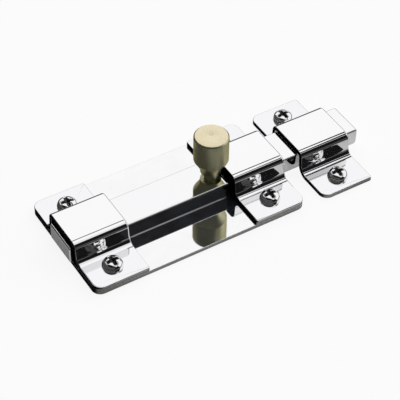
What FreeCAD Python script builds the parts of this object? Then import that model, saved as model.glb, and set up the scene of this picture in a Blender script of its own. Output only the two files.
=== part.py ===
import FreeCAD, Part
import math
import os

os.makedirs("parts", exist_ok=True)
Vector = FreeCAD.Vector
joined_within = 1e-6

# Flat bar bolt, in the shot position. All sizes are in millimetres.
# X runs along the bar towards its tip, Y to the back, Z out of the door.
# The origin is the middle of the base plate's back face.

# Base plate
plate_length = 80.0
plate_width = 45.5
plate_thickness = 1.5
corner_radius = 3.2

# Flat bar, a little longer than the plate at the rear and past the keeper at the tip
bar_width = 13.5
bar_thickness = 6.4
bar_rear_overhang = 0.9
bar_tip_reach = 5.0
bar_lift = 0.05
bar_edge_radius = 0.45
bar_end_radius = 0.6
bar_tip_radius = 1.3

# Straps: two guides and the keeper, bent to one section from the same strip
strap_thickness = 1.5
strap_width = 19.8
strap_wall_lean = 4.5
strap_bend_radius = 2.5
strap_foot_radius = 2.7
strap_inner_corner_radius = 0.8
strap_side_clearance = 0.72
keeper_headroom = 0.25
keeper_gap = 6.9
keeper_span = 46.9

# Pull knob, turned from bar
knob_diameter = 11.9
knob_height = 17.4
knob_rim_chamfer = 0.7
knob_neck_radius = 2.3
knob_collar_radius = 3.6
knob_cone_height = 4.1
knob_shoulder_radius = 0.6
knob_dimple_radius = 0.7
knob_dimple_depth = 0.2
knob_stop_gap = 0.35
tenon_radius = 2.0
tenon_length = 4.6
tenon_clearance = 0.03
tenon_end_gap = 0.4

# Pan head screws
screw_head_radius = 3.55
screw_head_height = 2.5
screw_head_side = 1.3
screw_head_flat_radius = 2.3
screw_neck_radius = 1.6
screw_thread_radius = 1.75
screw_length = 12.7
screw_point_length = 3.6
screw_hole_clearance = 0.35
guide_hole_edge_distance = 7.15
keeper_hole_edge_distance = 6.45
recess_span = 4.0
recess_depth = 1.7
recess_slot = 1.0
recess_floor_reach = 0.7
recess_overrun = 1.0
recess_turns = {
    "rear_guide_screw_front": 4.0,
    "rear_guide_screw_back": -6.0,
    "front_guide_screw_front": 1.0,
    "front_guide_screw_back": 12.0,
    "keeper_screw_front": -3.0,
    "keeper_screw_back": 7.0,
}

# Places that follow from the sizes
plate_rear_x = -plate_length / 2
plate_front_x = plate_length / 2
rear_guide_x = plate_rear_x
front_guide_x = plate_front_x - strap_width
keeper_x = plate_front_x + keeper_gap
channel_height = plate_thickness + bar_lift + bar_thickness + keeper_headroom
bar_bottom_z = plate_thickness + bar_lift
bar_top_z = bar_bottom_z + bar_thickness
bar_rear_x = plate_rear_x - bar_rear_overhang
bar_tip_x = keeper_x + strap_width + bar_tip_reach

# The knob's collar is level with the guides' top sheet, and its edge is the stop
knob_x = front_guide_x - knob_stop_gap - knob_collar_radius
collar_bottom = channel_height + plate_thickness - bar_top_z
collar_top = collar_bottom + strap_thickness

# The straps' walls lean, in degrees from upright, and the clearance beside the bar is the one at their top.
# The foot bends end short of the screw heads, which seat on the flat of the flanges.
wall_lean = math.radians(strap_wall_lean)
wall_spread = channel_height * math.tan(wall_lean)
sheet_corner_step = strap_thickness * math.tan((math.pi / 2 - wall_lean) / 2)
channel_top_half_width = bar_width / 2 + strap_side_clearance
channel_foot_half_width = channel_top_half_width + wall_spread
strap_top_half_width = channel_top_half_width + sheet_corner_step
strap_foot_half_width = channel_foot_half_width + sheet_corner_step

# The screws' plain necks end level with the base plate's back
screw_neck_length = plate_thickness + strap_thickness
hole_radius = screw_thread_radius + screw_hole_clearance
guide_hole_spacing = plate_width - 2 * guide_hole_edge_distance
keeper_hole_spacing = keeper_span - 2 * keeper_hole_edge_distance


def rounded_outline(corners):
    """A closed wire through corners (point, radius), with an arc at each corner that has a radius."""
    stretches = []
    count = len(corners)
    for index, (point, radius) in enumerate(corners):
        before = corners[index - 1][0]
        after = corners[(index + 1) % count][0]
        if radius == 0:
            stretches.append((point, None, point))
            continue
        back = (before - point).normalize()
        ahead = (after - point).normalize()
        half_angle = back.getAngle(ahead) / 2
        middle = (back + ahead).normalize()
        setback = radius / math.tan(half_angle)
        reach = radius / math.sin(half_angle) - radius
        stretches.append((point + back * setback, point + middle * reach, point + ahead * setback))
    edges = []
    for index, (start, halfway, end) in enumerate(stretches):
        if halfway is not None:
            edges.append(Part.Arc(start, halfway, end).toShape())
        next_start = stretches[(index + 1) % count][0]
        if end.distanceToPoint(next_start) > joined_within:
            edges.append(Part.LineSegment(end, next_start).toShape())
    return Part.Wire(edges)


def prism(corners, direction):
    """A straight solid whose section is the rounded outline."""
    return Part.Face(rounded_outline(corners)).extrude(direction)


def turned(profile):
    """A solid of revolution about Z, from corners (radius, height, rounding) between two points on Z."""
    corners = [(Vector(radius, 0, height), rounding) for radius, height, rounding in profile]
    return Part.Face(rounded_outline(corners)).revolve(Vector(), Vector(0, 0, 1), 360)


def hole_places(start_x, hole_spacing):
    """The two hole centres of a strap: midway along its strip, one to the front and one to the back."""
    middle = start_x + strap_width / 2
    return [(middle, -hole_spacing / 2), (middle, hole_spacing / 2)]


def screw_holes(places, bottom, height):
    return [Part.makeCylinder(hole_radius, height, Vector(x, y, bottom)) for x, y in places]


def base_plate(places):
    """The flat plate with four rounded corners and the guides' screw holes."""
    outline = []
    for x, y in ((-1, -1), (1, -1), (1, 1), (-1, 1)):
        outline.append((Vector(x * plate_length / 2, y * plate_width / 2, 0), corner_radius))
    plate = prism(outline, Vector(0, 0, plate_thickness))
    return plate.cut(screw_holes(places, 0, plate_thickness))


def strap(start_x, base_z, span, hole_spacing, rounded_end):
    """A hat section bent from strip; rounded_end, 0 or 1, is the edge of the strip with large corners."""
    flange_z = base_z + strap_thickness
    under_z = base_z + channel_height
    top_z = under_z + strap_thickness
    inner_bend = strap_bend_radius - strap_thickness
    outer_foot = strap_foot_radius + strap_thickness

    def at(y, z, radius=0.0):
        return (Vector(start_x, y, z), radius)

    section = [
        at(-span / 2, flange_z),
        at(-strap_foot_half_width, flange_z, strap_foot_radius),
        at(-strap_top_half_width, top_z, strap_bend_radius),
        at(strap_top_half_width, top_z, strap_bend_radius),
        at(strap_foot_half_width, flange_z, strap_foot_radius),
        at(span / 2, flange_z),
        at(span / 2, base_z),
        at(channel_foot_half_width, base_z, outer_foot),
        at(channel_top_half_width, under_z, inner_bend),
        at(-channel_top_half_width, under_z, inner_bend),
        at(-channel_foot_half_width, base_z, outer_foot),
        at(-span / 2, base_z),
    ]
    bent = prism(section, Vector(strap_width, 0, 0))

    # The flanges' corners are cut to the strip's outline, seen from above
    radii = [strap_inner_corner_radius, strap_inner_corner_radius]
    radii[rounded_end] = corner_radius
    outline = [
        (Vector(start_x, -span / 2, base_z), radii[0]),
        (Vector(start_x + strap_width, -span / 2, base_z), radii[1]),
        (Vector(start_x + strap_width, span / 2, base_z), radii[1]),
        (Vector(start_x, span / 2, base_z), radii[0]),
    ]
    cut_out = bent.common(prism(outline, Vector(0, 0, top_z - base_z)))
    return cut_out.cut(screw_holes(hole_places(start_x, hole_spacing), base_z, strap_thickness))


def bolt_bar():
    """The flat bar: eased edges, a rounded lower lip at the tip and a blind hole for the knob's tenon."""
    side = -bar_width / 2
    outline = [
        (Vector(bar_rear_x, side, bar_bottom_z), bar_end_radius),
        (Vector(bar_tip_x, side, bar_bottom_z), bar_tip_radius),
        (Vector(bar_tip_x, side, bar_top_z), bar_end_radius),
        (Vector(bar_rear_x, side, bar_top_z), bar_end_radius),
    ]
    bar = prism(outline, Vector(0, bar_width, 0))
    rims = [edge for edge in bar.Edges if edge.BoundBox.YLength < bar_edge_radius]
    bar = bar.makeFillet(bar_edge_radius, rims)
    hole_depth = tenon_length + tenon_end_gap
    hole_floor = Vector(knob_x, 0, bar_top_z - hole_depth)
    return bar.cut(Part.makeCylinder(tenon_radius + tenon_clearance, hole_depth, hole_floor))


def knob():
    """The turned knob: tenon, thin neck, collar, cone, barrel, chamfered rim and centre dimple."""
    radius = knob_diameter / 2
    profile = [
        (0, -tenon_length, 0),
        (tenon_radius, -tenon_length, 0),
        (tenon_radius, 0, 0),
        (knob_neck_radius, 0, 0),
        (knob_neck_radius, collar_bottom, 0),
        (knob_collar_radius, collar_bottom, 0),
        (knob_collar_radius, collar_top, 0),
        (radius, collar_top + knob_cone_height, knob_shoulder_radius),
        (radius, knob_height - knob_rim_chamfer, 0),
        (radius - knob_rim_chamfer, knob_height, 0),
        (knob_dimple_radius, knob_height, 0),
        (0, knob_height - knob_dimple_depth, 0),
    ]
    return turned(profile).translate(Vector(knob_x, 0, bar_top_z))


def cross_recess():
    """The tool for a cruciform recess: two crossed slots whose ends taper in towards the floor."""
    floor_z = screw_head_height - recess_depth
    taper = (recess_span / 2 - recess_floor_reach) / recess_depth
    mouth_z = screw_head_height + recess_overrun
    mouth_reach = recess_floor_reach + taper * (mouth_z - floor_z)
    side = -recess_slot / 2
    outline = [
        (Vector(-recess_floor_reach, side, floor_z), 0),
        (Vector(recess_floor_reach, side, floor_z), 0),
        (Vector(mouth_reach, side, mouth_z), 0),
        (Vector(-mouth_reach, side, mouth_z), 0),
    ]
    slot = prism(outline, Vector(0, recess_slot, 0))
    crossing = slot.copy()
    crossing.rotate(Vector(), Vector(0, 0, 1), 90)
    return slot.fuse(crossing)


def pan_head_screw(x, y, seat_z, turn):
    """A pan head wood screw whose head stands on seat_z; its thread is a cylinder of the outer diameter."""
    profile = [
        (0, -screw_length, 0),
        (screw_thread_radius, screw_point_length - screw_length, 0),
        (screw_thread_radius, -screw_neck_length, 0),
        (screw_neck_radius, -screw_neck_length, 0),
        (screw_neck_radius, 0, 0),
        (screw_head_radius, 0, 0),
        (screw_head_radius, screw_head_side, 0),
        (screw_head_flat_radius, screw_head_height, 0),
        (0, screw_head_height, 0),
    ]
    body = turned(profile).cut(cross_recess())
    body.rotate(Vector(), Vector(0, 0, 1), turn)
    return body.translate(Vector(x, y, seat_z))


# Each strap: name, start along X, height of its underside, span, hole spacing and rounded edge
straps = (
    ("rear_guide", rear_guide_x, plate_thickness, plate_width, guide_hole_spacing, 0),
    ("front_guide", front_guide_x, plate_thickness, plate_width, guide_hole_spacing, 1),
    ("keeper", keeper_x, 0.0, keeper_span, keeper_hole_spacing, 0),
)

pieces = {
    "base_plate": base_plate(
        hole_places(rear_guide_x, guide_hole_spacing) + hole_places(front_guide_x, guide_hole_spacing)
    ),
    "bolt_bar": bolt_bar(),
    "knob": knob(),
}
for strap_name, start_x, base_z, span, hole_spacing, rounded_end in straps:
    pieces[strap_name] = strap(start_x, base_z, span, hole_spacing, rounded_end)
    for side, (x, y) in zip(("front", "back"), hole_places(start_x, hole_spacing)):
        screw_name = f"{strap_name}_screw_{side}"
        pieces[screw_name] = pan_head_screw(x, y, base_z + strap_thickness, recess_turns[screw_name])

for name, shape in pieces.items():
    shape.exportStep(f"parts/{name}.step")
    state = "valid" if shape.isValid() else "INVALID"
    print(name, state, len(shape.Solids), "solid", round(shape.Volume, 1), "mm3")

travel = knob_x - knob_collar_radius - (rear_guide_x + strap_width) - knob_stop_gap
print("bar from", bar_rear_x, "to", bar_tip_x, "top", bar_top_z)
print("knob at", round(knob_x, 3), "slide travel", round(travel, 3))
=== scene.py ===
import math

import bmesh
import bpy
from mathutils import Matrix, Vector


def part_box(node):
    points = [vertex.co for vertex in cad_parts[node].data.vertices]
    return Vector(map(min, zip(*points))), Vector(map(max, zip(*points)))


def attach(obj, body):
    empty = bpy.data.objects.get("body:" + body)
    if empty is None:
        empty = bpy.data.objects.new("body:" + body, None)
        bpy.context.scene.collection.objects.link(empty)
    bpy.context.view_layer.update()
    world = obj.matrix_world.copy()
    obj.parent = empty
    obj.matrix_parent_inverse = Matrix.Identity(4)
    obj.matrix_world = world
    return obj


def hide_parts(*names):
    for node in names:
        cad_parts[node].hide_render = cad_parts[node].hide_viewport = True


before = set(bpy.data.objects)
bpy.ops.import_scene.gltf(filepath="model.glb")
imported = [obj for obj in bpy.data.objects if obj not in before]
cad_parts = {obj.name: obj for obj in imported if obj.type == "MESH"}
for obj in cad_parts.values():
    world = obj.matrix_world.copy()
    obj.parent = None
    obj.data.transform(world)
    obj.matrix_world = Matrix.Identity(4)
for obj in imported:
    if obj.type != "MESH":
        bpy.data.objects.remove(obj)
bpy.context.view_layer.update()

# A polished flat bar bolt in the shot position, dressed around its frame.
# Named lengths are in millimetres and become metres through MM, and named angles are in degrees.
MM = 0.001

# Camera, at the photograph's viewing angle
CAMERA_TARGET = (11.0, -1.92, 0.0)
CAMERA_DISTANCE = 530.0
CAMERA_AZIMUTH = 31.8
CAMERA_ELEVATION = 44.7
CAMERA_ROLL = 0.86
CAMERA_LENS = 141.35
CAMERA_SENSOR_WIDTH = 36.0

# Joining up the solids' facets, and telling their sharp edges and cut faces
MERGE_DISTANCE = 0.001
PLACE_TOLERANCE = 0.01
FLAT_ANGLE = 0.5
SHARP_ANGLE = 35.0
RIM_UPRIGHT = 0.03
BAR_END_FACING = 0.99

# Edges of the sheet, eased by polishing, and rolled over further where the strip was sheared
SHEET_THICKNESS = 1.5
FLAT_SHEET_RISE = 1.0
SHEET_EASE = 0.28
PLATE_EASE = 0.16
LOWER_EASE = 0.08
LOWER_EDGE_FACING = 0.05
HOLE_INSET = 3.0
ROLLED_EASE = 0.7
ROLLED_NEAR_END = ("rear_guide", "front_guide")
NEAR_ROLL_LENGTH = 4.0
NEAR_ROLL_RISE = 2.5
EASE_STEPS = 4

# Pan head screws, with heights from the underside of the head
HEAD_RADIUS = 3.55
HEAD_HEIGHT = 2.5
HEAD_FULLNESS = 2.6
HEAD_CROWN_EDGE = 3.2
HEAD_FOOT_RADIUS = 0.12
CROSS_REACH = 2.42
CROSS_DEPTH = 1.7
CROSS_HALF_WIDTH = 0.52
CROSS_TIP_HALF_WIDTH = 0.6
CROSS_END_SLOPE = 1.35
CROSS_CENTRE_RADIUS = 1.25
CROSS_CENTRE_FLAT_SHARE = 0.3
CROSS_SOFTNESS = 0.16
RECESS_EDGE_DEPTH = 0.25
NECK_RADIUS = 1.6
NECK_LENGTH = 3.0
NECK_SHOULDER_WIDTH = 0.3
NECK_SHOULDER_HEIGHT = 0.15
NECK_END_GAP = 0.1
THREAD_RADIUS = 1.75
THREAD_CORE_RADIUS = 1.22
THREAD_PITCH = 1.41
THREAD_RIDGE_SHARE = 0.28
THREAD_TIP_CREST = 0.35
THREAD_FADE_SHARE = 0.5
SCREW_LENGTH = 12.7
POINT_LENGTH = 3.6
SCREW_COLUMNS = 128
CROWN_ROWS = 42
SIDE_ROWS = 14
THREAD_ROWS_PER_PITCH = 12
SCREW_TURNS = {
    "rear_guide_screw_front": 4.0,
    "rear_guide_screw_back": -6.0,
    "front_guide_screw_front": 1.0,
    "front_guide_screw_back": 12.0,
    "keeper_screw_front": -3.0,
    "keeper_screw_back": 7.0,
}

# Knob, with heights from the top of the bar
KNOB_RADIUS = 5.95
KNOB_HEIGHT = 17.4
KNOB_RIM = 0.42
KNOB_NECK_RADIUS = 2.3
KNOB_COLLAR_RADIUS = 3.6
KNOB_COLLAR_BOTTOM = 1.75
KNOB_COLLAR_TOP = 3.25
KNOB_CONE_TOP = 7.35
KNOB_SHOULDER_RADIUS = 0.6
KNOB_EDGE_RADIUS = 0.12
KNOB_DIMPLE_RADIUS = 0.4
KNOB_DIMPLE_DEPTH = 0.05
KNOB_TENON_RADIUS = 2.0
KNOB_TENON_LENGTH = 4.6
KNOB_CRISP_ANGLE = 30.0
KNOB_COLUMNS = 160
ARC_STEPS = 6

# Tones of the metals, each from a darker to a lighter colour
SHEET_TONES = ((0.93, 0.93, 0.935), (0.96, 0.96, 0.96))
PLATE_TONES = ((0.94, 0.94, 0.945), (0.97, 0.97, 0.97))
BAR_TONES = ((0.91, 0.915, 0.925), (0.95, 0.95, 0.955))
SCREW_TONES = ((0.86, 0.86, 0.87), (0.93, 0.93, 0.93))
# The screws' cross recess is painted dark as shade.
RECESS_PAINTED_SHADE = ((0.10, 0.10, 0.105), (0.17, 0.17, 0.175))
SHEET_RIM_TONES = ((0.30, 0.30, 0.29), (0.42, 0.42, 0.40))
BAR_RIM_TONES = ((0.30, 0.30, 0.30), (0.42, 0.42, 0.41))
# The knob's side is painted darker as shade and its top brighter as light.
KNOB_SIDE_PAINTED_SHADE = ((0.53, 0.52, 0.33), (0.60, 0.58, 0.38))
KNOB_TOP_PAINTED_LIGHT = ((0.87, 0.78, 0.53), (0.92, 0.83, 0.60))

# Colours that take over in places: painted shade at the sheets' ends, a tone at the bar's ends, a painted
# reflection tint low on the straps, and a film
NEAR_END_PAINTED_SHADE = (0.02, 0.02, 0.021)
SHEET_END_PAINTED_SHADE = (0.012, 0.012, 0.013)
BAR_END_COLOUR = (0.80, 0.80, 0.81)
FOOT_PAINTED_TINT = (0.915, 0.91, 0.93)
FILM_COLOUR = (0.55, 0.66, 0.85)
FILM_MOST = 0.055
FILM_LEAST_SHARE = 0.15
FOOT_COLOUR_START = 3.2
FOOT_COLOUR_END = 4.4
NEAR_END_FACING_START = 0.2
NEAR_END_FACING_FULL = 0.6
RIM_END_FACING_START = 0.35
RIM_END_FACING_FULL = 0.8
KNOB_TOP_FACING_START = 0.6
KNOB_TOP_FACING_FULL = 0.95

# Roughness ranges and tints of the reflections at grazing angles
POLISHED_ROUGHNESS = (0.03, 0.06)
SCREW_ROUGHNESS = (0.05, 0.10)
RECESS_ROUGHNESS = (0.4, 0.55)
RIM_ROUGHNESS = (0.22, 0.34)
KNOB_SIDE_ROUGHNESS = (0.34, 0.42)
KNOB_TOP_ROUGHNESS = (0.24, 0.30)
SHEET_GRAZING_TINT = (0.9, 0.9, 0.9, 1)
RIM_GRAZING_TINT = (0.35, 0.35, 0.36, 1)
KNOB_GRAZING_TINT = (0.42, 0.38, 0.25, 1)

# Fine surface structure: scales of the noise, its stretches along the axes, and bump heights and strengths
NOISE_LOW = 0.3
NOISE_HIGH = 0.7
CLOUD_SCALE = 60
LINE_SCALE = 900
SWELL_SCALE = 45
PATCH_SCALE = 130
RIM_GRAIN_SCALE = 1200
KNOB_RING_SCALE = 2600
KNOB_CLOUD_SCALE = 220
SHEET_LINES = (0.25, 3, 3)
BAR_LINES = (0.15, 4, 4)
EVEN_LINES = (2, 2, 2)
PATCH_STRETCH = (1, 1.6, 1)
RIM_GRAIN_STRETCH = (1, 1, 0.12)
SHEET_WAVE = 0.02
BAR_WAVE = 0.015
SCREW_WAVE = 0.01
WAVE_STRENGTH = 0.5
LINE_HEIGHT = 0.0006
LINE_STRENGTH = 0.25
RIM_GRAIN_HEIGHT = 0.004
RIM_GRAIN_STRENGTH = 0.3
KNOB_RING_HEIGHT = 0.0015
KNOB_RING_STRENGTH = 0.2

# Floor: its glow and colours, and the oval beyond which it dims in the metal's mirror
FLOOR_HALF_WIDTH = 2500.0
FLOOR_GLOW_TO_CAMERA = 0.88
FLOOR_GLOW_TO_MIRROR = 0.2
FLOOR_MIDDLE_X = 15.0
FLOOR_REACH_X = 75.0
FLOOR_REACH_Y = 38.0
FLOOR_DIM_START = 0.72
FLOOR_DIM_END = 1.25
FLOOR_COLOUR = (0.9, 0.9, 0.9)
FLOOR_FAR_COLOUR = (0.05, 0.05, 0.055)
FLOOR_SHADOW_COLOUR = (0.2, 0.2, 0.2)

# Studio surroundings: levels are light strengths, and headings go round from +X
BACK_PANEL_HEADING = 29.0
BACK_PANEL_HALF_WIDTH = 71.0
BACK_PANEL_TOP = 51.5
BACK_PANEL_BOTTOM = 18.0
BACK_PANEL_LEVEL = 1.0
SIDE_PANEL_HEADING = -5.0
SIDE_PANEL_HALF_WIDTH = 34.0
SIDE_PANEL_BOTTOM = 7.0
TOP_PANEL_FRONT_EDGE = 49.0
TOP_PANEL_BACK_EDGE = 62.0
TOP_PANEL_LEVEL = 1.0
TOP_PANEL_FRONT_LEVEL = 0.84
TOP_PANEL_FRONT_HEADING = -130.0
TOP_PANEL_FRONT_START = -0.08
TOP_PANEL_FRONT_FULL = 0.04
HORIZON_TOP = 6.0
HORIZON_LEVEL = 0.12
DARK_SIDE_HEADING = -155.0
DARK_SIDE_START = 0.06
DARK_SIDE_FULL = 0.14
FILL_PANEL_HEADING = -174.0
FILL_PANEL_HALF_WIDTH = 74.0
FILL_PANEL_BOTTOM = 18.0
FILL_PANEL_TOP = 50.0
FILL_PANEL_LEVEL = 0.075
ROOM_LEVEL = 0.008
PANEL_SOFTNESS = 1.5
PANEL_EDGE = 6.0


def new_piece(name, mesh, body, slot, *nodes):
    """A visible piece that rides on a body and stands for its nodes."""
    piece = bpy.data.objects.new(name, mesh)
    bpy.context.scene.collection.objects.link(piece)
    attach(piece, body)
    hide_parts(*nodes)
    return piece


def smooth_step(low, high, value):
    share = min(max((value - low) / (high - low), 0.0), 1.0)
    return share * share * (3 - 2 * share)


def sheet_rim(normal):
    return abs(normal.z) < RIM_UPRIGHT


def bar_end(normal):
    return abs(normal.x) > BAR_END_FACING


def dressed(node, body, slot, easing, materials, is_cut=sheet_rim):
    """Put a copy of a node's shape in, with flat faces joined, sharp edges eased and cut faces set apart.

    easing gives the width in millimetres for a sharp edge of the shape. materials are the surface's
    and the cut faces', which is_cut tells by their normal.
    """
    shape = bmesh.new()
    shape.from_mesh(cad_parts[node].data)
    bmesh.ops.remove_doubles(shape, verts=shape.verts, dist=MERGE_DISTANCE * MM)
    bmesh.ops.dissolve_limit(
        shape,
        angle_limit=math.radians(FLAT_ANGLE),
        verts=shape.verts,
        edges=shape.edges,
        delimit={"NORMAL"},
    )
    weights = shape.edges.layers.float.new("bevel_weight_edge")
    for edge in shape.edges:
        if easing and edge.calc_face_angle(0) > math.radians(SHARP_ANGLE):
            edge[weights] = easing(edge) / ROLLED_EASE
            edge.smooth = edge[weights] > 0
    for face in shape.faces:
        face.material_index = int(is_cut(face.normal))
    mesh = bpy.data.meshes.new(node + "_shell")
    shape.to_mesh(mesh)
    shape.free()
    mesh.shade_smooth()
    piece = new_piece(node + "_dressed", mesh, body, slot, node)
    if easing:
        bevel = piece.modifiers.new("eased edges", "BEVEL")
        bevel.width = ROLLED_EASE * MM
        bevel.segments = EASE_STEPS
        bevel.limit_method = "WEIGHT"
        bevel.harden_normals = True
        bevel.use_clamp_overlap = False
        bevel.material = 0
    normals = piece.modifiers.new("flat faces stay flat", "WEIGHTED_NORMAL")
    normals.keep_sharp = True
    for material in materials:
        piece.data.materials.append(material)


def sheet_easing(node):
    """The easing of a sheet's edges: rolled over high up at its far end, and low down at its near end."""
    low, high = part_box(node)
    flange_top = low[2] + SHEET_THICKNESS * MM

    def easing(edge):
        middle = sum((vert.co for vert in edge.verts), Vector()) / 2
        inset = min(middle.x - low[0], high[0] - middle.x, high[1] - abs(middle.y))
        if inset > HOLE_INSET * MM:
            return 0.0
        if max(face.normal.z for face in edge.link_faces) < LOWER_EDGE_FACING:
            return LOWER_EASE
        if high[2] - flange_top < FLAT_SHEET_RISE * MM:
            return PLATE_EASE
        share = 0.0
        if all(vert.co.x > high[0] - PLACE_TOLERANCE * MM for vert in edge.verts):
            share = smooth_step(flange_top, high[2], middle.z)
        elif node in ROLLED_NEAR_END and middle.y < 0:
            near = 1 - smooth_step(low[0], low[0] + NEAR_ROLL_LENGTH * MM, middle.x)
            share = near * (1 - smooth_step(flange_top, flange_top + NEAR_ROLL_RISE * MM, middle.z))
        return SHEET_EASE + (ROLLED_EASE - SHEET_EASE) * share

    return easing


def arc(centre, radius, start, end):
    """Points (radius, height) along an arc, with angles in degrees from the outward direction."""
    points = []
    for step in range(ARC_STEPS + 1):
        angle = math.radians(start + (end - start) * step / ARC_STEPS)
        points.append((centre[0] + radius * math.cos(angle), centre[1] + radius * math.sin(angle)))
    return points


def grid_mesh(name, rows, columns, start_pole, end_pole):
    """A closed skin from rows of points round an axis, ending in one point at each end."""
    shape = bmesh.new()
    rings = [[shape.verts.new(point) for point in row] for row in rows]
    for upper, lower in zip(rings, rings[1:]):
        for column in range(columns):
            after = (column + 1) % columns
            shape.faces.new((upper[column], lower[column], lower[after], upper[after]))
    for pole, ring, flip in ((start_pole, rings[0], False), (end_pole, rings[-1], True)):
        tip = shape.verts.new(pole)
        for column in range(columns):
            after = (column + 1) % columns
            corners = (ring[column], ring[after], tip)
            shape.faces.new(tuple(reversed(corners)) if flip else corners)
    bmesh.ops.recalc_face_normals(shape, faces=shape.faces)
    mesh = bpy.data.meshes.new(name)
    shape.to_mesh(mesh)
    shape.free()
    mesh.shade_smooth()
    return mesh


def turned_mesh(name, profile, columns, axis_x, base_z):
    """A lathe-turned skin from a profile of (radius, height), whose two ends lie on the axis."""
    rows = []
    for radius, height in profile[1:-1]:
        row = []
        for column in range(columns):
            angle = 2 * math.pi * column / columns
            x = axis_x + radius * MM * math.cos(angle)
            row.append((x, radius * MM * math.sin(angle), base_z + height * MM))
        rows.append(row)
    poles = [(axis_x, 0, base_z + profile[end][1] * MM) for end in (0, -1)]
    return grid_mesh(name, rows, columns, *poles)


def cross_depth(x, y):
    """Depth of the cross-shaped recess under a point of the screw's crown."""
    deepest = 0.0
    for along_arm, across_arm in ((abs(x), abs(y)), (abs(y), abs(x))):
        share = min(along_arm / CROSS_REACH, 1.0)
        half_width = CROSS_HALF_WIDTH + (CROSS_TIP_HALF_WIDTH - CROSS_HALF_WIDTH) * share
        inside = 1 - smooth_step(half_width - CROSS_SOFTNESS, half_width + CROSS_SOFTNESS, across_arm)
        floor = CROSS_DEPTH * min(1.0, CROSS_END_SLOPE * (1 - share))
        deepest = max(deepest, inside * floor)
    radius = math.hypot(x, y)
    flat_radius = CROSS_CENTRE_FLAT_SHARE * CROSS_CENTRE_RADIUS
    cone = CROSS_DEPTH * (1 - smooth_step(flat_radius, CROSS_CENTRE_RADIUS, radius))
    return max(deepest, cone)


def full_curve(value, size, other_size):
    """The other coordinate of an outline fuller than an ellipse, from one coordinate and both sizes."""
    return other_size * (1 - (value / size) ** HEAD_FULLNESS) ** (1 / HEAD_FULLNESS)


def head_outline():
    """Points (radius, height) from the middle of the crown out and down to the foot."""
    points = []
    for step in range(1, CROWN_ROWS + 1):
        radius = HEAD_CROWN_EDGE * step / CROWN_ROWS
        points.append((radius, full_curve(radius, HEAD_RADIUS, HEAD_HEIGHT)))
    top = points[-1][1]
    for step in range(1, SIDE_ROWS):
        height = top + (HEAD_FOOT_RADIUS - top) * step / SIDE_ROWS
        points.append((full_curve(height, HEAD_HEIGHT, HEAD_RADIUS), height))
    return points


def thread_radius(height, angle):
    """Radius of the threaded part of the shank, a ridge that winds down and fades at both ends."""
    below = -NECK_LENGTH - height
    turn = (below / THREAD_PITCH + angle / (2 * math.pi)) % 1.0
    ridge = max(0.0, 1 - abs(turn - 0.5) / THREAD_RIDGE_SHARE)
    tip_share = min(1.0, (SCREW_LENGTH + height) / POINT_LENGTH)
    core = THREAD_CORE_RADIUS * tip_share
    rise = (THREAD_RADIUS - THREAD_CORE_RADIUS) * min(1.0, THREAD_TIP_CREST + tip_share)
    crest = core + rise * ridge
    return core + (crest - core) * smooth_step(0.0, THREAD_FADE_SHARE * THREAD_PITCH, below)


def screw_mesh(name, centre_x, centre_y, seat_z, turn):
    """A pan head wood screw with a soft-edged cross recess, a plain neck and a wound thread."""
    rows = []

    def add_row(point_at):
        row = []
        for column in range(SCREW_COLUMNS):
            angle = 2 * math.pi * column / SCREW_COLUMNS
            radius, height = point_at(angle)
            x = centre_x + radius * MM * math.cos(angle + math.radians(turn))
            y = centre_y + radius * MM * math.sin(angle + math.radians(turn))
            row.append((x, y, seat_z + height * MM))
        rows.append(row)

    for radius, height in head_outline():

        def crown(angle, radius=radius, height=height):
            return radius, height - cross_depth(radius * math.cos(angle), radius * math.sin(angle))

        add_row(crown)
    foot_centre = (HEAD_RADIUS - HEAD_FOOT_RADIUS, HEAD_FOOT_RADIUS)
    outline = arc(foot_centre, HEAD_FOOT_RADIUS, 0, -90)
    outline.append((NECK_RADIUS + NECK_SHOULDER_WIDTH, 0))
    outline.append((NECK_RADIUS, -NECK_SHOULDER_HEIGHT))
    outline.append((NECK_RADIUS, -NECK_LENGTH + NECK_END_GAP))
    for point in outline:
        add_row(lambda angle, point=point: point)

    threaded = SCREW_LENGTH - NECK_LENGTH
    count = int(threaded / THREAD_PITCH * THREAD_ROWS_PER_PITCH)
    for step in range(count):
        height = -NECK_LENGTH - threaded * step / count
        add_row(lambda angle, height=height: (thread_radius(height, angle), height))
    recess_floor = seat_z + (HEAD_HEIGHT - CROSS_DEPTH) * MM
    top = (centre_x, centre_y, recess_floor)
    tip = (centre_x, centre_y, seat_z - SCREW_LENGTH * MM)
    mesh = grid_mesh(name, rows, SCREW_COLUMNS, top, tip)
    turn_cos = math.cos(math.radians(turn))
    turn_sin = math.sin(math.radians(turn))
    for face in mesh.polygons:
        x = face.center.x - centre_x
        y = face.center.y - centre_y
        along_arm = (x * turn_cos + y * turn_sin) / MM
        across_arm = (y * turn_cos - x * turn_sin) / MM
        # Faces deep in the cross recess take the second material, painted shade.
        in_crown = face.center.z > recess_floor - PLACE_TOLERANCE * MM
        face.material_index = int(in_crown and cross_depth(along_arm, across_arm) > RECESS_EDGE_DEPTH)
    return mesh


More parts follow.
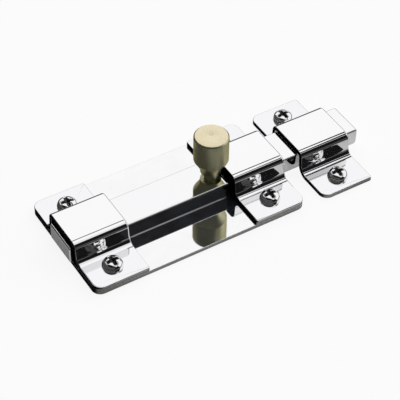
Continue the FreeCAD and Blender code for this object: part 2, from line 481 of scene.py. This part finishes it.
def knob_profile():
    """Points (radius, height) of the knob from the tenon's end up to the dimple in its top."""
    cone_rise = KNOB_CONE_TOP - KNOB_COLLAR_TOP
    cone_slope = math.degrees(math.atan2(cone_rise, KNOB_RADIUS - KNOB_COLLAR_RADIUS))
    shoulder_setback = KNOB_SHOULDER_RADIUS * math.tan(math.radians(90 - cone_slope) / 2)
    shoulder_centre = (KNOB_RADIUS - KNOB_SHOULDER_RADIUS, KNOB_CONE_TOP + shoulder_setback)
    edge = KNOB_EDGE_RADIUS
    profile = [(0, -KNOB_TENON_LENGTH), (KNOB_TENON_RADIUS, -KNOB_TENON_LENGTH), (KNOB_TENON_RADIUS, 0)]
    profile += [(KNOB_NECK_RADIUS, 0), (KNOB_NECK_RADIUS, KNOB_COLLAR_BOTTOM)]
    profile += arc((KNOB_COLLAR_RADIUS - edge, KNOB_COLLAR_BOTTOM + edge), edge, -90, 0)
    profile.append((KNOB_COLLAR_RADIUS, KNOB_COLLAR_TOP))
    profile += arc(shoulder_centre, KNOB_SHOULDER_RADIUS, cone_slope - 90, 0)
    profile += arc((KNOB_RADIUS - edge, KNOB_HEIGHT - KNOB_RIM - edge / 2), edge, 0, 45)
    profile += arc((KNOB_RADIUS - KNOB_RIM - edge / 2, KNOB_HEIGHT - edge), edge, 45, 90)
    profile += [(KNOB_DIMPLE_RADIUS, KNOB_HEIGHT), (0, KNOB_HEIGHT - KNOB_DIMPLE_DEPTH)]
    return profile


def node_graph(owner):
    owner.use_nodes = True
    nodes = owner.node_tree.nodes
    nodes.clear()
    return nodes, owner.node_tree.links


def noise(nodes, links, coordinates, scale, detail, stretch=(1, 1, 1)):
    mapping = nodes.new("ShaderNodeMapping")
    mapping.inputs["Scale"].default_value = stretch
    links.new(coordinates, mapping.inputs["Vector"])
    texture = nodes.new("ShaderNodeTexNoise")
    texture.inputs["Scale"].default_value = scale
    texture.inputs["Detail"].default_value = detail
    links.new(mapping.outputs["Vector"], texture.inputs["Vector"])
    return texture.outputs["Fac"]


def span(nodes, links, value, low, high):
    """Spreads a noise value over a range."""
    spread = nodes.new("ShaderNodeMapRange")
    spread.inputs["From Min"].default_value = NOISE_LOW
    spread.inputs["From Max"].default_value = NOISE_HIGH
    spread.inputs["To Min"].default_value = low
    spread.inputs["To Max"].default_value = high
    links.new(value, spread.inputs["Value"])
    return spread.outputs["Result"]


def ramp(nodes, links, value, zero_at, one_at):
    """A smooth step from 0 to 1 between two values."""
    node = nodes.new("ShaderNodeMapRange")
    node.interpolation_type = "SMOOTHSTEP"
    node.inputs["From Min"].default_value = zero_at
    node.inputs["From Max"].default_value = one_at
    links.new(value, node.inputs["Value"])
    return node.outputs["Result"]


def scaled(nodes, links, value, factor):
    node = nodes.new("ShaderNodeMath")
    node.operation = "MULTIPLY"
    node.inputs[1].default_value = factor
    links.new(value, node.inputs[0])
    return node.outputs["Value"]


def chained(nodes, links, values, operation):
    total = values[0]
    for value in values[1:]:
        node = nodes.new("ShaderNodeMath")
        node.operation = operation
        links.new(total, node.inputs[0])
        links.new(value, node.inputs[1])
        total = node.outputs["Value"]
    return total


def sums(nodes, links, values):
    return chained(nodes, links, values, "ADD")


def product(nodes, links, values):
    return chained(nodes, links, values, "MULTIPLY")


def blended(nodes, links, factor, first, second, kind="FLOAT"):
    """Goes from the first value to the second as the factor goes from 0 to 1."""
    node = nodes.new("ShaderNodeMix")
    node.data_type = kind
    links.new(factor, node.inputs["Factor"])
    links.new(first, node.inputs["A"])
    links.new(second, node.inputs["B"])
    return node.outputs["Result"]


def two_tones(nodes, links, factor, dark, light):
    """Goes from one plain colour to another."""
    mix = nodes.new("ShaderNodeMix")
    mix.data_type = "RGBA"
    mix.inputs["A"].default_value = (*dark, 1)
    mix.inputs["B"].default_value = (*light, 1)
    links.new(factor, mix.inputs["Factor"])
    return mix.outputs["Result"]


def taken_over(nodes, links, factor, tone, colour):
    """Goes from a tone to a plain colour."""
    mix = nodes.new("ShaderNodeMix")
    mix.data_type = "RGBA"
    mix.inputs["B"].default_value = (*colour, 1)
    links.new(tone, mix.inputs["A"])
    links.new(factor, mix.inputs["Factor"])
    return mix.outputs["Result"]


def bump(nodes, links, height, distance, strength, before=None):
    node = nodes.new("ShaderNodeBump")
    node.inputs["Distance"].default_value = distance * MM
    node.inputs["Strength"].default_value = strength
    links.new(height, node.inputs["Height"])
    if before is not None:
        links.new(before, node.inputs["Normal"])
    return node.outputs["Normal"]


def length(nodes, links, vector):
    node = nodes.new("ShaderNodeVectorMath")
    node.operation = "LENGTH"
    links.new(vector, node.inputs[0])
    return node.outputs["Value"]


def along(nodes, links, vector, heading):
    """How far a vector reaches towards a heading, in degrees round from +X."""
    angle = math.radians(heading)
    node = nodes.new("ShaderNodeVectorMath")
    node.operation = "DOT_PRODUCT"
    node.inputs[1].default_value = (math.cos(angle), math.sin(angle), 0)
    links.new(vector, node.inputs[0])
    return node.outputs["Value"]


def levelled(nodes, links, vector):
    """A vector's height, and the vector laid level."""
    split = nodes.new("ShaderNodeSeparateXYZ")
    links.new(vector, split.inputs["Vector"])
    level = nodes.new("ShaderNodeCombineXYZ")
    links.new(split.outputs["X"], level.inputs["X"])
    links.new(split.outputs["Y"], level.inputs["Y"])
    return split.outputs["Z"], level.outputs["Vector"]


def facing(nodes, links, axis):
    """How far a surface turns towards an axis, from -1 to 1."""
    split = nodes.new("ShaderNodeSeparateXYZ")
    links.new(nodes.new("ShaderNodeNewGeometry").outputs["Normal"], split.inputs["Vector"])
    return split.outputs[axis]


def facing_near_end(nodes, links):
    """0 on most of a sheet, and 1 where its surface turns towards its near end."""
    turned_away = scaled(nodes, links, facing(nodes, links, "X"), -1.0)
    return ramp(nodes, links, turned_away, NEAR_END_FACING_START, NEAR_END_FACING_FULL)


def bare_metal(name):
    """A new metal material with its nodes, links, shader and coordinates on the object."""
    material = bpy.data.materials.new(name)
    nodes, links = node_graph(material)
    shader = nodes.new("ShaderNodeBsdfPrincipled")
    shader.inputs["Metallic"].default_value = 1.0
    place = nodes.new("ShaderNodeTexCoord").outputs["Object"]
    return material, nodes, links, shader, place


def show(nodes, links, surface):
    output = nodes.new("ShaderNodeOutputMaterial")
    links.new(surface, output.inputs["Surface"])


def metal(name, tones, roughness, lines, wave, film=None, near_end_shade=None, foot=None):
    """Polished metal: cloudy tone, faint polishing lines along an axis and a little waviness.

    film is the most that a patchy, bluish film of handling shows on it, near_end_shade is painted shade,
    a near-black colour on its eased edge at the near end, and foot is a painted reflection tint low down.
    """
    material, nodes, links, shader, place = bare_metal(name)
    cloud = noise(nodes, links, place, CLOUD_SCALE, detail=3)
    hairs = noise(nodes, links, place, LINE_SCALE, detail=4, stretch=lines)
    tone = two_tones(nodes, links, cloud, *tones)
    # Painted reflection: a slightly darker, lilac tint low down on the straps.
    if foot:
        height = levelled(nodes, links, place)[0]
        low_down = ramp(nodes, links, height, FOOT_COLOUR_END * MM, FOOT_COLOUR_START * MM)
        tone = taken_over(nodes, links, low_down, tone, foot)
    # Painted shade: a near-black colour where the sheet turns towards its near end.
    if near_end_shade:
        tone = taken_over(nodes, links, facing_near_end(nodes, links), tone, near_end_shade)
        shader.inputs["Specular Tint"].default_value = SHEET_GRAZING_TINT
    links.new(tone, shader.inputs["Base Color"])
    links.new(span(nodes, links, hairs, *roughness), shader.inputs["Roughness"])
    swell = noise(nodes, links, place, SWELL_SCALE, detail=1)
    waved = bump(nodes, links, swell, wave, WAVE_STRENGTH)
    lined = bump(nodes, links, hairs, LINE_HEIGHT, LINE_STRENGTH, waved)
    links.new(lined, shader.inputs["Normal"])
    surface = shader.outputs["BSDF"]
    if film:
        patches = noise(nodes, links, place, PATCH_SCALE, detail=4, stretch=PATCH_STRETCH)
        haze = nodes.new("ShaderNodeBsdfDiffuse")
        haze.inputs["Color"].default_value = (*FILM_COLOUR, 1)
        over = nodes.new("ShaderNodeMixShader")
        links.new(span(nodes, links, patches, FILM_LEAST_SHARE * film, film), over.inputs["Fac"])
        links.new(surface, over.inputs[1])
        links.new(haze.outputs["BSDF"], over.inputs[2])
        surface = over.outputs["Shader"]
    show(nodes, links, surface)
    return material


def rim_metal(name, tones, end_colour):
    """Cut metal: duller than the faces; what faces along the bar has its own colour, painted shade on the
    sheets.
    """
    material, nodes, links, shader, place = bare_metal(name)
    grain = noise(nodes, links, place, RIM_GRAIN_SCALE, detail=3, stretch=RIM_GRAIN_STRETCH)
    endwise = facing(nodes, links, "X")
    squared = product(nodes, links, [endwise, endwise])
    at_end = ramp(nodes, links, squared, RIM_END_FACING_START, RIM_END_FACING_FULL)
    # The end colour is painted shade on the sheets' ends, and a plain lighter tone on the bar's ends.
    tone = taken_over(nodes, links, at_end, two_tones(nodes, links, grain, *tones), end_colour)
    links.new(tone, shader.inputs["Base Color"])
    shader.inputs["Specular Tint"].default_value = RIM_GRAZING_TINT
    links.new(span(nodes, links, grain, *RIM_ROUGHNESS), shader.inputs["Roughness"])
    rough = bump(nodes, links, grain, RIM_GRAIN_HEIGHT, RIM_GRAIN_STRENGTH)
    links.new(rough, shader.inputs["Normal"])
    show(nodes, links, shader.outputs["BSDF"])
    return material


def knob_brass(axis_x):
    """Satin brass, with turning marks round the knob's own axis, a smoother top, and painted light and
    shade.
    """
    material, nodes, links, shader, place = bare_metal("satin brass")
    centred = nodes.new("ShaderNodeMapping")
    centred.inputs["Location"].default_value = (-axis_x, 0, 0)
    links.new(place, centred.inputs["Vector"])
    height, flat = levelled(nodes, links, centred.outputs["Vector"])
    turned = nodes.new("ShaderNodeCombineXYZ")
    links.new(length(nodes, links, flat), turned.inputs["X"])
    links.new(height, turned.inputs["Y"])
    rings = noise(nodes, links, turned.outputs["Vector"], KNOB_RING_SCALE, detail=3)
    cloud = noise(nodes, links, place, KNOB_CLOUD_SCALE, detail=3)
    upward = facing(nodes, links, "Z")
    upward_share = ramp(nodes, links, upward, KNOB_TOP_FACING_START, KNOB_TOP_FACING_FULL)
    # Painted light and shade: the side takes dark tones and the top bright ones, by how far the surface
    # faces up.
    shaded_side_tone = two_tones(nodes, links, cloud, *KNOB_SIDE_PAINTED_SHADE)
    lit_top_tone = two_tones(nodes, links, cloud, *KNOB_TOP_PAINTED_LIGHT)
    tone = blended(nodes, links, upward_share, shaded_side_tone, lit_top_tone, kind="RGBA")
    links.new(tone, shader.inputs["Base Color"])
    shader.inputs["Specular Tint"].default_value = KNOB_GRAZING_TINT
    side_rough = span(nodes, links, rings, *KNOB_SIDE_ROUGHNESS)
    top_rough = span(nodes, links, rings, *KNOB_TOP_ROUGHNESS)
    links.new(blended(nodes, links, upward_share, side_rough, top_rough), shader.inputs["Roughness"])
    ringed = bump(nodes, links, rings, KNOB_RING_HEIGHT, KNOB_RING_STRENGTH)
    links.new(ringed, shader.inputs["Normal"])
    show(nodes, links, shader.outputs["BSDF"])
    return material


def floor_surface():
    """White to the camera with the object's soft shadow, and dimmer away from it in the metal's mirror."""
    material = bpy.data.materials.new("pale floor")
    nodes, links = node_graph(material)
    seen = nodes.new("ShaderNodeLightPath")
    camera_ray = seen.outputs["Is Camera Ray"]
    mirror_ray = sums(nodes, links, [seen.outputs["Is Glossy Ray"], seen.outputs["Is Transmission Ray"]])
    spot = nodes.new("ShaderNodeMapping")
    spot.inputs["Location"].default_value = (-FLOOR_MIDDLE_X / FLOOR_REACH_X, 0, 0)
    spot.inputs["Scale"].default_value = (1 / (FLOOR_REACH_X * MM), 1 / (FLOOR_REACH_Y * MM), 1)
    links.new(nodes.new("ShaderNodeTexCoord").outputs["Object"], spot.inputs["Vector"])
    away = length(nodes, links, spot.outputs["Vector"])
    near = ramp(nodes, links, away, FLOOR_DIM_END, FLOOR_DIM_START)
    mirror_glow = product(nodes, links, [mirror_ray, near])
    glows = [
        scaled(nodes, links, camera_ray, FLOOR_GLOW_TO_CAMERA),
        scaled(nodes, links, mirror_glow, FLOOR_GLOW_TO_MIRROR),
    ]
    glow = nodes.new("ShaderNodeEmission")
    links.new(sums(nodes, links, glows), glow.inputs["Strength"])
    plain_tone = two_tones(nodes, links, camera_ray, FLOOR_COLOUR, FLOOR_SHADOW_COLOUR)
    mirror_tone = two_tones(nodes, links, near, FLOOR_FAR_COLOUR, FLOOR_COLOUR)
    shade = nodes.new("ShaderNodeBsdfDiffuse")
    tone = blended(nodes, links, mirror_ray, plain_tone, mirror_tone, kind="RGBA")
    links.new(tone, shade.inputs["Color"])
    both = nodes.new("ShaderNodeAddShader")
    links.new(glow.outputs["Emission"], both.inputs[0])
    links.new(shade.outputs["BSDF"], both.inputs[1])
    show(nodes, links, both.outputs["Shader"])
    return material


def lay_floor():
    mesh = bpy.data.meshes.new("floor")
    half = FLOOR_HALF_WIDTH * MM
    corners = [(-half, -half, 0), (half, -half, 0), (half, half, 0), (-half, half, 0)]
    mesh.from_pydata(corners, [], [(0, 1, 2, 3)])
    floor = bpy.data.objects.new("floor", mesh)
    bpy.context.scene.collection.objects.link(floor)
    mesh.materials.append(floor_surface())


def surround_studio():
    """White to the camera. The metal mirrors white panels above, behind and beside it, and a dim room."""
    world = bpy.data.worlds.new("studio")
    bpy.context.scene.world = world
    nodes, links = node_graph(world)
    direction = nodes.new("ShaderNodeTexCoord").outputs["Generated"]
    height, flat = levelled(nodes, links, direction)
    normalized = nodes.new("ShaderNodeVectorMath")
    normalized.operation = "NORMALIZE"
    links.new(flat, normalized.inputs[0])
    level_direction = normalized.outputs["Vector"]

    def by_height(zero_at, one_at):
        """A smooth step from 0 to 1 between two elevations."""
        limits = [math.sin(math.radians(elevation)) for elevation in (zero_at, one_at)]
        return ramp(nodes, links, height, *limits)

    def by_heading(middle, half_width, edge=PANEL_EDGE):
        """1 within a width round a heading, and 0 beyond its soft edge."""
        limits = [math.cos(math.radians(angle)) for angle in (half_width + edge, half_width)]
        return ramp(nodes, links, along(nodes, links, level_direction, middle), *limits)

    back = by_heading(BACK_PANEL_HEADING, BACK_PANEL_HALF_WIDTH)
    front_cap = by_height(TOP_PANEL_FRONT_EDGE - PANEL_SOFTNESS, TOP_PANEL_FRONT_EDGE)
    back_cap = by_height(TOP_PANEL_BACK_EDGE - PANEL_SOFTNESS, TOP_PANEL_BACK_EDGE)
    towards_dark = along(nodes, links, direction, DARK_SIDE_HEADING)
    open_side = ramp(nodes, links, towards_dark, DARK_SIDE_FULL, DARK_SIDE_START)
    top_panel = product(nodes, links, [blended(nodes, links, back, front_cap, back_cap), open_side])
    towards_front = along(nodes, links, direction, TOP_PANEL_FRONT_HEADING)
    front_share = ramp(nodes, links, towards_front, TOP_PANEL_FRONT_START, TOP_PANEL_FRONT_FULL)
    top_level = nodes.new("ShaderNodeMix")
    top_level.data_type = "FLOAT"
    top_level.inputs["A"].default_value = TOP_PANEL_LEVEL
    top_level.inputs["B"].default_value = TOP_PANEL_FRONT_LEVEL
    links.new(front_share, top_level.inputs["Factor"])

    back_top = by_height(BACK_PANEL_TOP, BACK_PANEL_TOP - PANEL_SOFTNESS)
    high_bottom = by_height(BACK_PANEL_BOTTOM - PANEL_EDGE, BACK_PANEL_BOTTOM)
    low_bottom = by_height(SIDE_PANEL_BOTTOM - PANEL_SOFTNESS, SIDE_PANEL_BOTTOM)
    side = by_heading(SIDE_PANEL_HEADING, SIDE_PANEL_HALF_WIDTH)
    back_bottom = blended(nodes, links, side, high_bottom, low_bottom)
    back_panel = product(nodes, links, [back, back_top, back_bottom])
    horizon = by_height(HORIZON_TOP + PANEL_SOFTNESS, HORIZON_TOP - PANEL_SOFTNESS)

    fill_sides = by_heading(FILL_PANEL_HEADING, FILL_PANEL_HALF_WIDTH, edge=2 * PANEL_EDGE)
    fill_top = by_height(FILL_PANEL_TOP + PANEL_EDGE, FILL_PANEL_TOP)
    fill_bottom = by_height(FILL_PANEL_BOTTOM - PANEL_EDGE, FILL_PANEL_BOTTOM)
    fill_panel = product(nodes, links, [fill_sides, fill_top, fill_bottom])

    panels = sums(nodes, links, [
        scaled(nodes, links, fill_panel, FILL_PANEL_LEVEL),
        product(nodes, links, [top_panel, top_level.outputs["Result"]]),
        scaled(nodes, links, back_panel, BACK_PANEL_LEVEL),
        scaled(nodes, links, horizon, HORIZON_LEVEL),
    ])
    room = nodes.new("ShaderNodeMath")
    room.operation = "MAXIMUM"
    room.inputs[1].default_value = ROOM_LEVEL
    links.new(panels, room.inputs[0])
    camera_ray = nodes.new("ShaderNodeLightPath").outputs["Is Camera Ray"]
    shown = chained(nodes, links, [room.outputs["Value"], camera_ray], "MAXIMUM")
    background = nodes.new("ShaderNodeBackground")
    background.inputs["Color"].default_value = (1, 1, 1, 1)
    links.new(shown, background.inputs["Strength"])
    output = nodes.new("ShaderNodeOutputWorld")
    links.new(background.outputs["Background"], output.inputs["Surface"])


def set_camera():
    """The camera at the photograph's place, aimed at its target and rolled a little."""
    azimuth = math.radians(CAMERA_AZIMUTH)
    elevation = math.radians(CAMERA_ELEVATION)
    roll = math.radians(CAMERA_ROLL)
    forward = Vector((
        math.sin(azimuth) * math.cos(elevation),
        math.cos(azimuth) * math.cos(elevation),
        -math.sin(elevation),
    ))
    level_right = Vector((math.cos(azimuth), -math.sin(azimuth), 0))
    level_up = level_right.cross(forward)
    right = level_right * math.cos(roll) + level_up * math.sin(roll)
    up = level_up * math.cos(roll) - level_right * math.sin(roll)
    camera_data = bpy.data.cameras.new("camera")
    camera_data.lens = CAMERA_LENS
    camera_data.sensor_width = CAMERA_SENSOR_WIDTH
    camera = bpy.data.objects.new("camera", camera_data)
    bpy.context.scene.collection.objects.link(camera)
    place = Vector(CAMERA_TARGET) * MM - forward * CAMERA_DISTANCE * MM
    turn = Matrix((right, up, -forward)).transposed().to_4x4()
    camera.matrix_world = Matrix.Translation(place) @ turn
    bpy.context.scene.camera = camera


# Materials
# The sheets' cut rims, with near-black painted shade on their ends.
sheet_cut = rim_metal("cut rim", SHEET_RIM_TONES, SHEET_END_PAINTED_SHADE)
# The sheets get painted shade at their near ends, and the straps a painted reflection tint low down.
sheet_metal = metal(
    "polished sheet", SHEET_TONES, POLISHED_ROUGHNESS, SHEET_LINES, SHEET_WAVE,
    near_end_shade=NEAR_END_PAINTED_SHADE, foot=FOOT_PAINTED_TINT,
)
plate_metal = metal(
    "polished plate", PLATE_TONES, POLISHED_ROUGHNESS, SHEET_LINES, SHEET_WAVE,
    film=FILM_MOST, near_end_shade=NEAR_END_PAINTED_SHADE,
)
bar_cut = rim_metal("bar end", BAR_RIM_TONES, BAR_END_COLOUR)
bar_metal = metal("polished bar", BAR_TONES, POLISHED_ROUGHNESS, BAR_LINES, BAR_WAVE)
screw_metal = metal("polished screws", SCREW_TONES, SCREW_ROUGHNESS, EVEN_LINES, SCREW_WAVE)
# Painted shade for the cross recesses of the screws.
recess_painted_shade = metal("dark recess", RECESS_PAINTED_SHADE, RECESS_ROUGHNESS, EVEN_LINES, SCREW_WAVE)

# Sheet pieces and the bar
dressed("base_plate", "door_side", "polished_metal", sheet_easing("base_plate"), (plate_metal, sheet_cut))
for strap in ("rear_guide", "front_guide", "keeper"):
    dressed(strap, "door_side", "polished_metal", sheet_easing(strap), (sheet_metal, sheet_cut))
dressed("bolt_bar", "bolt", "bar_metal", None, (bar_metal, bar_cut), bar_end)

# Screws
for screw_node, screw_turn in SCREW_TURNS.items():
    low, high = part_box(screw_node)
    middle_x = (low[0] + high[0]) / 2
    middle_y = (low[1] + high[1]) / 2
    head_seat = high[2] - HEAD_HEIGHT * MM
    skin = screw_mesh(screw_node + "_skin", middle_x, middle_y, head_seat, screw_turn)
    screw = new_piece(screw_node + "_detailed", skin, "door_side", "screw_metal", screw_node)
    screw.data.materials.append(screw_metal)
    screw.data.materials.append(recess_painted_shade)

# Knob
knob_low, knob_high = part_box("knob")
knob_axis_x = (knob_low[0] + knob_high[0]) / 2
knob_base_z = knob_high[2] - KNOB_HEIGHT * MM
knob_skin = turned_mesh("knob_skin", knob_profile(), KNOB_COLUMNS, knob_axis_x, knob_base_z)
knob_skin.materials.append(knob_brass(knob_axis_x))
knob_piece = new_piece("knob_turned", knob_skin, "bolt", "knob_brass", "knob")
knob_crisp = knob_piece.modifiers.new("crisp edges", "EDGE_SPLIT")
knob_crisp.split_angle = math.radians(KNOB_CRISP_ANGLE)

# Staging
lay_floor()
surround_studio()
set_camera()
bpy.context.scene.view_settings.view_transform = "Standard"

bpy.context.view_layer.update()
